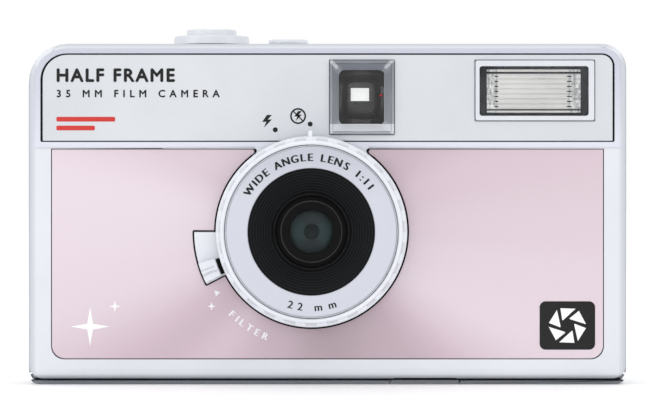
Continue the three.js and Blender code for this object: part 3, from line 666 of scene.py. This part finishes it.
def frontShell():
    shell = roundedBlock("front_shell", (-54.4, 54.4), (-10, -3), (1.05, 62.1), (2.4, 2.4, 4.3, 7), 2.1, 6)
    band = roundedBlock("band", (-53.6, 53.6), (-10.5, -8.8), (43.1, 61.3), (0.5, 0.5, 3.5, 6.2), 0.45, 3)
    boolean(shell, "UNION", band)
    cut(shell,
        roundedBlock("inside", (-53, 53), (-8.5, 0), (2.5, 60.7), (1, 1, 5.6, 5.6)),
        roundedBlock("plateRecess", (-52.2, 52.2), (-12, -9.6), (44.2, 60.3), (0.3, 0.3, 2.3, 4.8)),
        roundedBlock("panelRecess", (-50.3, 50.3), (-12, -9.2), (4.65, 43), (2.4, 2.4, 0, 0)),
        rod("lensOpening", (-2.9, -10, 27.9), 15.8, 6, sides=128),
        sector("leverSlot", 15, 17.9, 180, 206.9, (-12, -8)),
        block("finderOpening", (0.9, 11.6), (-12, -8), (46.1, 58.5)),
        block("flashOpening", (27.4, 48), (-12, -8), (48.6, 58.5)),
        block("batteryNotch", (12.2, 23.4), (-8.5, -2), (0, 3)))
    soften(shell, 0.12, 2, 50)
    join(shell, web("web", -1), web("web", 1))
    finish(shell, frontShellPaint, "camera_body", "shell_plastic", "front_cover")
    # painted shade: a black strip laid in the seam under the front shell, to darken the shade in that gap
    seamShadow = block("base_seam_shadow", (-53.6, 53.6), (-7.4, -3.5), (0.84, 1.04))
    soften(seamShadow, 0.05)
    finish(seamShadow, blackSmooth, "camera_body", "foam")


def topPlate():
    plate = roundedBlock("top_plate", (-51.8, 51.85), (-10.4, -9.75), (44.4, 60.05), (0.2, 0.2, 2, 4.5))
    cut(plate, block("finderGap", (0.33, 12.22), (-12, -9), (45.48, 59.12)),
        block("flashGap", (26.75, 48.65), (-12, -9), (47.95, 59.15)))
    soften(plate, 0.1, 2, 50)
    finish(plate, facePlateFinish, "camera_body", "faceplate_metal", "top_faceplate")
    # painted shade: a thin black liner in the gap round the plate, to darken the shade there
    seam = roundedBlock("plate_seam_shadow", (-52.17, 52.17), (-10.25, -9.65), (44.23, 60.27),
                        (0.3, 0.3, 2.28, 4.75))
    cut(seam, roundedBlock("plateRoom", (-51.85, 51.9), (-12, -8), (44.35, 60.1), (0.2, 0.2, 2, 4.5)))
    soften(seam, 0.02)
    finish(seam, blackSmooth, "camera_body", "foam")


def pinkPanel():
    panel = flat("pink_panel", panelOutline(0.15), -9.9, 0.55)
    soften(panel, 0.06, 2, 50)
    finish(panel, pink, "camera_body", "decor_metal", "decor_panel")
    rest = sector("slot_plate", 17.3, 21.45, 180.2, 206.7, (-10.0, -9.25))
    soften(rest, 0.12, 2, 50)
    finish(rest, ringPlastic, "camera_body", "ring_plastic")
    # painted shade: a black liner under the panel's edge, and black strips in the gaps round the ring and the
    # lever's slot, darken the shade in those gaps
    ledge = flat("panel_seam_shadow", panelOutline(0.02), -9.7, 0.45)
    proud, besideSlot = (-9.95, -9.8), (-10.02, -9.8)
    gaps = [sector("gap", 17.42, 17.74, 128, 179.6, proud, 40), sector("gap", 17.42, 17.74, 207.3, 411, proud, 128),
            sector("gap", 21.35, 21.6, 180.2, 206.9, besideSlot, 20),
            sector("gap", 17.5, 21.5, 179.3, 180, besideSlot, 2),
            sector("gap", 17.5, 21.5, 206.8, 207.4, besideSlot, 2)]
    cut(ledge, flat("panelRoom", panelOutline(0.14), -12, 4))
    join(ledge, *gaps)
    soften(ledge, 0.02, 2, 50)
    finish(ledge, blackSmooth, "camera_body", "black_plastic")


frontShell()
topPlate()
pinkPanel()
print("front shell, plate and panel")


# ---- viewfinder

def finderFrame():
    look = {"x": (0.45, 12.1), "z": (45.6, 59.0), "rim": 0.5, "facet": 0.9,
            "opening": ((2, 10.3), (47.5, 57.4))}
    frameOf = block("finder_frame", look["x"], (-11, -9.65), look["z"])
    pick(frameOf, "polygons", lambda face: face.normal.y < -0.9)
    bpy.ops.mesh.inset(thickness=look["rim"] * mm, depth=0)
    bpy.ops.mesh.extrude_region_move(TRANSFORM_OT_translate={"value": (0, 0.15 * mm, 0)})
    bpy.ops.mesh.extrude_region_move(TRANSFORM_OT_translate={"value": (0, 1.15 * mm, 0)})
    middle = (6.15 * mm, 0, 52.45 * mm)
    wide = [high - low for low, high in look["opening"]]
    inner = [high - low - 2 * look["rim"] for low, high in (look["x"], look["z"])]
    bpy.ops.transform.resize(value=(wide[0] / inner[0], 1, wide[1] / inner[1]), center_override=middle)
    bpy.ops.mesh.delete(type="FACE")
    done()
    pick(frameOf, "polygons", lambda face: face.normal.y > 0.9)
    bpy.ops.mesh.delete(type="FACE")
    done()
    pick(frameOf, "edges", lambda e: all(p.y > -9.72 for p in ends(frameOf, e)))
    bpy.ops.mesh.bridge_edge_loops()
    bpy.ops.mesh.select_all(action="SELECT")
    bpy.ops.mesh.normals_make_consistent(inside=False)
    done()
    roundEdges(frameOf, lambda a, b: {round(a.y, 2), round(b.y, 2)} == {-10.85, -9.7}, look["facet"], 3)
    skirt = block("skirt", (1.1, 11.4), (-9.75, -8.6), (46.3, 58.3))
    cut(skirt, block("skirtHole", look["opening"][0], (-11, -8), look["opening"][1]))
    tabs = [block("tab", x, (-10.99, -10.2), z) for x, z in (
        ((4.2, 8.1), (58.45, 58.8)), ((4.2, 8.1), (45.8, 46.15)),
        ((0.65, 1.0), (51.2, 53.5)), ((11.55, 11.9), (51.2, 53.5)))]
    join(frameOf, skirt, *tabs)
    soften(frameOf, 0.07, 2, 28)
    finish(frameOf, finderSilver(), "camera_body", "bezel_metal", "viewfinder_bezel")
    dot = rod("finder_mark", (9.75, -8.35, 52.75), 0.22, 0.1)
    soften(dot, 0.03)
    finish(dot, markRed, "camera_body", "lamp_plastic")


def finderLens():
    # hollow on both sides, so the bright eyepiece looks small through it
    look = {"frontCurve": 40, "rearCurve": 14, "y": (-8.3, -5.8), "centreDepth": (0.52, 1.58)}
    glass = block("finder_front_lens", (1.95, 10.55), look["y"], (47.25, 57.65))
    hollows = ((look["frontCurve"], look["y"][0] + look["centreDepth"][0] - look["frontCurve"]),
               (look["rearCurve"], look["y"][1] - look["centreDepth"][1] + look["rearCurve"]))
    for curve, depth in hollows:
        bpy.ops.object.select_all(action="DESELECT")
        bpy.ops.mesh.primitive_uv_sphere_add(segments=192, ring_count=96, radius=curve * mm,
                                             location=(6.15 * mm, depth * mm, 52.45 * mm))
        cut(glass, settle("hollow"))
    only(glass)
    bpy.ops.object.shade_smooth_by_angle(angle=math.radians(25))
    finish(glass, finderGlass, "camera_body", "clear_plastic", "viewfinder_front_lens")


finderFrame()
finderLens()
print("viewfinder")


# ---- flash

def flashUnit():
    look = {"ribs": 7, "low": 50.2, "high": 56.6, "x": (29.0, 46.05),
            "bars": ((49.52, 49.92), (56.98, 57.42))}
    rim = block("flash_frame", (26.9, 48.5), (-10.9, -9.65), (48.1, 59))
    roundEdges(rim, upright, 0.4, 4)
    cut(rim, roundedBlock("rimHole", (27.65, 47.45), (-12, -9), (48.95, 57.95), (0.5, 0.5, 0.5, 0.5)))
    soften(rim, 0.18, 3, 50)
    finish(rim, silver, "camera_body", "flash_frame_plastic", "flash_bezel")
    window = block("flash_pane", (27.7, 47.4), (-10.3, -10.0), (49.0, 57.9))
    roundEdges(window, upright, 0.5, 5)
    soften(window, 0.06)
    finish(window, windowGlaze, "camera_body", "clear_plastic")
    recess = block("flash_recess", (27.6, 47.5), (-9.5, -9.38), (48.9, 58))
    soften(recess, 0.03)
    finish(recess, recessGrey, "camera_body", "black_plastic")
    middle = sum(look["x"]) / 2
    length = look["x"][1] - look["x"][0]
    pitch = (look["high"] - look["low"]) / look["ribs"]
    lamp = block("flash_ribs", look["x"], (-9.62, -9.5), (look["low"] - 0.02, look["high"] + 0.02))
    for row in range(look["ribs"]):
        rib = rod("rib", (middle, -9.56, look["low"] + pitch * (row + 0.5)), pitch * 0.5, length, "X", 24)
        only(rib)
        bpy.ops.transform.resize(value=(1, 0.7, 1), center_override=(0, -9.56 * mm, 0))
        bpy.ops.object.transform_apply(location=True, rotation=True, scale=True)
        join(lamp, rib)
    for low, high in look["bars"]:
        bar = block("bar", look["x"], (-9.8, -9.5), (low, high))
        join(lamp, soften(bar, 0.1, 3))
    soften(lamp, 0)
    finish(lamp, creamRibsPaintedGlow, "camera_body", "clear_plastic", "flash_window")
    spots = []
    for row in range(look["ribs"]):
        for side, width in ((30.75, 0.55), (44.0, 0.75)):
            bpy.ops.object.select_all(action="DESELECT")
            place = Vector((side, -9.87, look["low"] + pitch * (row + 0.5))) * mm
            bpy.ops.mesh.primitive_uv_sphere_add(segments=16, ring_count=8, radius=mm, location=place)
            bpy.context.active_object.scale = (width * 0.7, 0.05, 0.13)
            spots.append(settle("spot"))
    join(*spots)
    spots[0].name = "flash_end_shadows"
    soften(spots[0], 0)
    finish(spots[0], recessGrey, "camera_body", "black_plastic")


flashUnit()
print("flash")


# ---- lens

def lensPieces():
    face = lathe("lens_face_ring", [(11.42, -19.2), (11.45, -19.3), (11.62, -19.46), (15.0, -19.46),
                                    (15.15, -19.33), (15.3, -19.0), (15.3, -18.7), (11.42, -18.7)], steps=160)
    soften(face, 0, angle=50)
    finish(face, nameRingSilver, "camera_body", "bezel_metal", "lens_name_ring")
    spacer = lathe("ring_spacer", [(15.32, -18.95), (15.4, -19.05), (15.5, -18.95), (15.5, -18.2),
                                   (15.32, -18.2)], steps=160)
    soften(spacer, 0)
    finish(spacer, silver, "camera_body", "shell_plastic")
    rim = lathe("glass_rim", [(5.4, -14.0), (5.5, -14.16), (5.62, -14.0), (5.5, -13.9)], steps=128)
    soften(rim, 0)
    finish(rim, rimBrown, "camera_body", "black_plastic")
    glass = lathe("front_glass", [(0.001, -13.3), (1.3, -13.27), (2.6, -13.15), (3.9, -12.9), (5.1, -12.5),
                                  (5.1, -11.6), (2.6, -11.4), (0.001, -11.3)], steps=96)
    soften(glass, 0)
    finish(glass, glassGlaze, "camera_body", "lens_glass", "front_lens_element")
    iris = lathe("iris_plate", [(1.42, -11.1), (1.5, -11.14), (5.1, -11.14), (5.1, -10.7), (1.42, -10.7)])
    soften(iris, 0)
    finish(iris, irisFinish(), "camera_body", "black_plastic", "aperture_plate")
    rear = lathe("rear_glass", [(0.001, -10.4), (2.6, -10.3), (5.1, -10.1), (5.1, -9.4), (2.6, -9.1),
                                (0.001, -8.95)])
    soften(rear, 0)
    finish(rear, pupilFinish, "camera_body", "lens_glass", "rear_lens_element")
    ridges = {"count": 9, "rim": (11.3, -18.9), "foot": (6.9, -14.2), "depth": 0.16}
    cone = [(11.5, -19.2)]
    for step in range(ridges["count"]):
        for lift, share in ((0, 0.0), (1, 0.45)):
            along = (step + share) / ridges["count"]
            radius = ridges["rim"][0] + (ridges["foot"][0] - ridges["rim"][0]) * along
            depth = ridges["rim"][1] + (ridges["foot"][1] - ridges["rim"][1]) * along
            cone.append((radius, depth - lift * ridges["depth"]))
    cone += [(6.9, -14.2), (7.4, -13.9), (11.9, -18.3), (13.3, -18.3), (13.3, -18.6), (11.5, -18.65)]
    baffle = lathe("lens_ridges", cone, steps=128)
    soften(baffle, 0)
    finish(baffle, baffleBlack, "camera_body", "black_plastic", "lens_baffle")
    keeper = lathe("lens_keeper", [(3.95, -13.7), (4.1, -13.82), (5.3, -13.95), (5.45, -14.1),
                                   (5.6, -13.98), (6.3, -14.1), (6.4, -13.9), (6.6, -13.9), (6.6, -13.5),
                                   (3.95, -13.5)], steps=128)
    soften(keeper, 0)
    finish(keeper, blackSmooth, "camera_body", "black_plastic", "lens_retaining_ring")


def switchRing():
    look = {"grips": 27, "half": 3.3, "pitch": 360 / 27}
    ring = lathe("switch_ring", [(15.6, -18.7), (15.72, -18.95), (16.0, -19), (16.25, -18.95),
                                 (16.42, -18.6), (16.45, -18.3), (16.45, -12.6), (17.2, -12.5),
                                 (17.36, -12.3), (17.36, -11.1), (17.2, -11), (15.6, -11)], steps=160)
    soften(ring, 0)
    grips = []
    for index in range(look["grips"]):
        middle = 90 + index * look["pitch"]
        grip = sector("grip", 16.3, 16.98, middle - look["half"], middle + look["half"], (-18, -11.4), 4)
        soften(grip, 0.14, 3, 50)
        grips.append(grip)
    pointer = block("pointer", (-3.45, -2.75), (-17.6, -12), (44.4, 46.1))
    soften(pointer, 0.12, 3)
    join(ring, *grips, pointer)
    finish(ring, ringPlastic, "flash_switch", "ring_plastic", "flash_switch_ring")


def leverKnob():
    ring = lathe("lever_ring", [(14, -8.2), (17.4, -8.2), (17.4, -7.4), (14, -7.4)])
    parts = [sector("neck", 16.4, 17.6, 196.4, 205, (-10.7, -7.6), 8),
             sector("bridge", 16.4, 18.6, 196.4, 205, (-10.7, -10.2), 8)]
    pad = sector("star_lever_knob", 18.2, 21.3, 195.6, 205.8, (-12.3, -10.2), 12)
    cut(pad, sector("groove", 18.7, 22, 199.5, 200.05, (-13, -12.0), 2),
        sector("groove2", 18.7, 22, 201.5, 202.05, (-13, -12.0), 2))
    soften(pad, 0.16, 3, 50)
    join(pad, ring, *parts)
    finish(pad, ringPlastic, "star_lever", "ring_plastic", "star_filter_lever")
    shadow = sector("lever_gap", 17.45, 18.12, 195.9, 205.5, (-10.78, -10.68), 8)
    soften(shadow, 0.02)
    finish(shadow, blackSmooth, "star_lever", "black_plastic")


lensPieces()
switchRing()
leverKnob()
print("lens, switch ring and lever")


# ---- top buttons

def topButtons():
    cap = lathe("release_cap", [(0.001, 65.25), (2.8, 65.3), (4.2, 65.38), (4.5, 65.3), (4.65, 65.05),
                                (4.65, 62.7), (4.1, 62.7), (4.1, 64.3), (1.4, 64.3), (1.4, 56.5),
                                (0.001, 56.5)], (-21.6, 5), "Z")
    soften(cap, 0)
    finish(cap, silver, "release", "bezel_metal", "shutter_button")
    ring = lathe("counter_ring", [(2.6, 63.3), (2.75, 63.5), (3.45, 63.5), (3.65, 63.35), (3.7, 63.1),
                                  (3.7, 62.55), (3.05, 62.5), (3.05, 61.2), (2.6, 61.2)], (-7.3, 5), "Z")
    soften(ring, 0)
    finish(ring, silver, "camera_body", "bezel_metal", "counter_bezel")


topButtons()
print("top buttons")


# ---- printed marks: plain words, numbers and signs, each a thin skin on its surface

def letters(words, size, x, z, y, turn=0.0, align="LEFT", spacing=1.0):
    bpy.ops.object.select_all(action="DESELECT")
    bpy.ops.object.text_add(location=(x * mm, y * mm, z * mm),
                            rotation=(math.pi / 2, math.radians(turn), 0))
    text = bpy.context.active_object
    text.data.body = words
    text.data.size = size * mm
    text.data.extrude = 0.02 * mm
    text.data.space_character = spacing
    text.data.resolution_u = 3
    text.data.align_x = align
    bpy.ops.object.convert(target="MESH")
    return settle("letters")


def boldLetters(words, size, x, z, y, weight, spacing=1.0):
    # heavier strokes: the same words laid over themselves, a little apart
    shifts = ((0, 0), (weight, 0), (weight / 2, weight / 2), (weight / 2, -weight / 2))
    return join(*[letters(words, size, x + right, z + up, y - 0.002 * i, spacing=spacing)
                  for i, (right, up) in enumerate(shifts)])


def arcLetters(words, size, radius, start, end, y, inward=False, weight=0.0):
    # each letter takes its share of the arc
    share = {"W": 1.5, "M": 1.4, "m": 1.5, "I": 0.5, "L": 0.85, "E": 0.85, "1": 0.8, ":": 0.5, " ": 0.65}
    widths = [share.get(letter, 1.05) for letter in words]
    middles = [sum(widths[:i]) + width / 2 for i, width in enumerate(widths)]
    made = []
    for letter, middle in zip(words, middles):
        if letter == " ":
            continue
        angle = start + (end - start) * (middle - middles[0]) / (middles[-1] - middles[0])
        for layer, shift in enumerate((-weight / 2, weight / 2)[:2 if weight else 1]):
            turned = angle + math.degrees(shift / radius)
            foot = radius + size * 0.36 if inward else radius - size * 0.36
            x = lensPlace.x / mm + foot * math.cos(math.radians(turned))
            z = lensPlace.z / mm + foot * math.sin(math.radians(turned))
            lean = (-90 if inward else 90) - angle
            made.append(letters(letter, size, x, z, y - 0.002 * layer, lean, "CENTER"))
    return join(*made)


def star(name, x, z, big, waist, y):
    points = [(x + r * math.cos(math.radians(45 * i)), z + r * math.sin(math.radians(45 * i)))
              for i, r in enumerate([big, waist] * 4)]
    return flat(name, points, y)


def bolt(name, x, z, tall, y):
    shape = [(0.0, 0.5), (-0.38, -0.04), (-0.06, -0.04), (-0.24, -0.5),
             (0.38, 0.14), (0.06, 0.14), (0.38, 0.5)]
    return flat(name, [(x + px * tall, z + pz * tall) for px, pz in shape], y)


def marks():
    plateY = -10.42
    title = join(boldLetters("HALF FRAME", 3.3, -49.5, 55.2, plateY, 0.24, 1.2),
                 boldLetters("35 MM FILM CAMERA", 1.85, -49.35, 52.35, plateY, 0.1, 1.84),
                 bolt("bolt", -11.0, 47.95, 2.3, plateY - 0.02),
                 bolt("bolt", -5.35, 48.9, 1.8, plateY - 0.02),
                 rod("dot", (-9.5, plateY, 46.4), 0.45, 0.04, sides=24),
                 rod("dot", (-3.15, plateY, 47.45), 0.45, 0.04, sides=24),
                 ringSign(-5.35, 48.9, 1.45, plateY))
    title.name = "plate_marks"
    finish(title, markBlack, "camera_body", "black_plastic")
    bars = [roundedBlock("bar", x, (plateY - 0.02, plateY + 0.02), z, [0.25] * 4, cornerSegments=5)
            for x, z in (((-49.3, -38.6), (47.9, 48.75)), ((-49.3, -42.3), (46.3, 47.15)))]
    join(*bars)
    bars[0].name = "red_bars"
    finish(bars[0], markRed, "camera_body", "lamp_plastic")
    ringY = -19.47
    arc = join(arcLetters("WIDE ANGLE LENS 1:11", 1.95, 13.4, 146, 37, ringY, weight=0.2),
               arcLetters("22 mm", 1.95, 13.5, 254, 286, ringY, True, weight=0.1))
    arc.name = "ring_marks"
    finish(arc, markBlack, "camera_body", "black_plastic")
    panelY = -9.93
    whites = join(star("star", -43.2, 10.6, 3.6, 0.75, panelY), star("star", -38.7, 14.3, 1.1, 0.3, panelY),
                  star("star", -21.1, 14.3, 0.75, 0.25, panelY),
                  flat("arrow", [(-20.6, 17.2), (-19.5, 16.9), (-20.3, 16.1)], panelY),
                  arcLetters("FILTER", 1.8, 20.8, 226, 246, panelY + 0.01, True, weight=0.14))
    whites.name = "panel_marks"
    finish(whites, markWhite, "camera_body", "shell_plastic")
    badge = roundedBlock("corner_badge", (38.6, 48.7), (-9.95, -9.88), (6.4, 15.2), (1.1, 1.1, 1.1, 1.1),
                         cornerSegments=8)
    finish(badge, markBlack, "camera_body", "black_plastic")
    centre = Vector((43.65, 0, 10.8))
    blades = []
    for turn in range(0, 360, 60):
        def at(r, a):
            turned = math.radians(turn + a)
            return (centre.x + r * math.cos(turned), centre.z + r * math.sin(turned))
        blades.append(flat("blade", [at(3.4, 4), at(3.4, 52), at(1.35, 74), at(1.25, 66)], -9.98, 0.05))
    sign = join(*blades)
    sign.name = "iris_sign"
    finish(sign, markWhite, "camera_body", "shell_plastic")


def ringSign(x, z, radius, y):
    # a circle with a stroke through it
    ring = rod("circle", (x, y, z), radius, 0.04, sides=40)
    cut(ring, rod("hole", (x, y, z), radius - 0.3, 1, sides=40))
    near, far = 0.85, 1.0
    stroke = flat("stroke", [(x - far, z + near), (x - near, z + far), (x + far, z - near), (x + near, z - far)],
                  y - 0.02)
    return join(ring, stroke)


marks()
print("marks")


# ---- the rest keeps its own shape, with rounded edges

roundedNodes = {
    "rear_housing": 0.25, "base_plate": 0.2, "back_door": 0.3, "battery_door": 0.12, "door_latch": 0.15,
    "advance_wheel": 0.15, "button_collar": 0.15, "strap_bar": 0.05, "rewind_crank_arm": 0.15,
    "rewind_crank_knob": 0.1, "lens_barrel": 0.1, "viewfinder_eyepiece": 0.12, "flash_ready_lamp": 0.12,
    "pressure_plate": 0.1, "film_chassis": 0.1, "take_up_spool": 0.12, "rewind_release_button": 0.1,
    "tripod_socket": 0.1, "rewind_shaft": 0.08,
}
bodies = frame["record"]["behaviour"]["bodies"]
owner = {member: body for body, members in bodies.items() for member in members}
slotOf = {part["node"]: part["material_slot"] for part in frame["record"]["subparts"]}
tunnel = refined("viewfinder_tunnel", 0.1)
finish(tunnel, deepBlack, "camera_body", "black_plastic", "viewfinder_tunnel")
for node, width in roundedNodes.items():
    piece = refined(node, width, clamp=node == "rear_housing")
    finish(piece, slotFinish[slotOf[node]], owner[node], slotOf[node], node)
print("rounded pieces")


# ---- stage, light and camera

def studio():
    white = Finish("paleFloor", Roughness=0.55, Emission_Color=(1, 1, 1, 1), Emission_Strength=0.1)
    drift = white.place.noise(3.0, 2.0).spread(0.3, 0.7)
    white.set(Base_Color=drift.blend((0.93, 0.93, 0.935, 1), (0.95, 0.95, 0.955, 1)))
    bpy.ops.object.select_all(action="DESELECT")
    bpy.ops.mesh.primitive_plane_add(size=40)
    floor = settle("studio_floor")
    floor.data.materials.append(white.material)
    world = bpy.data.worlds.new("studio")
    bpy.context.scene.world = world
    world.use_nodes = True
    world.node_tree.nodes["Background"].inputs[0].default_value = (1, 1, 1, 1)
    world.node_tree.nodes["Background"].inputs[1].default_value = 1.0
    lamps = {
        "frontSoft": ((-0.5, -1.4, 1.3), 1.0, 1.6, (1, 0.995, 0.99)),
        "leftSoft": ((-1.3, -0.7, 0.5), 0.7, 0.8, (0.97, 0.98, 1)),
        "rightSoft": ((1.3, -0.7, 0.6), 0.7, 0.5, (0.97, 0.98, 1)),
        "topSoft": ((0, 0.2, 1.5), 1.0, 2.2, (1, 1, 1)),
    }
    for name, (place, size, power, tint) in lamps.items():
        bpy.ops.object.light_add(type="AREA", location=place)
        lamp = bpy.context.active_object
        lamp.name = name
        lamp.data.size = size
        lamp.data.energy = power
        lamp.data.color = tint
        aim = Vector((0, 0, 0.03)) - Vector(place)
        lamp.rotation_euler = aim.to_track_quat("-Z", "Y").to_euler()
    bpy.ops.object.camera_add(location=(0, -0.6105, 0.032), rotation=(math.pi / 2, 0, 0))
    camera = bpy.context.active_object
    camera.data.lens = 181.4
    camera.data.sensor_width = 36
    camera.data.clip_start = 0.01
    camera.data.clip_end = 30
    bpy.context.scene.camera = camera
    bpy.context.scene.view_settings.view_transform = "Standard"


studio()
print("studio ready")
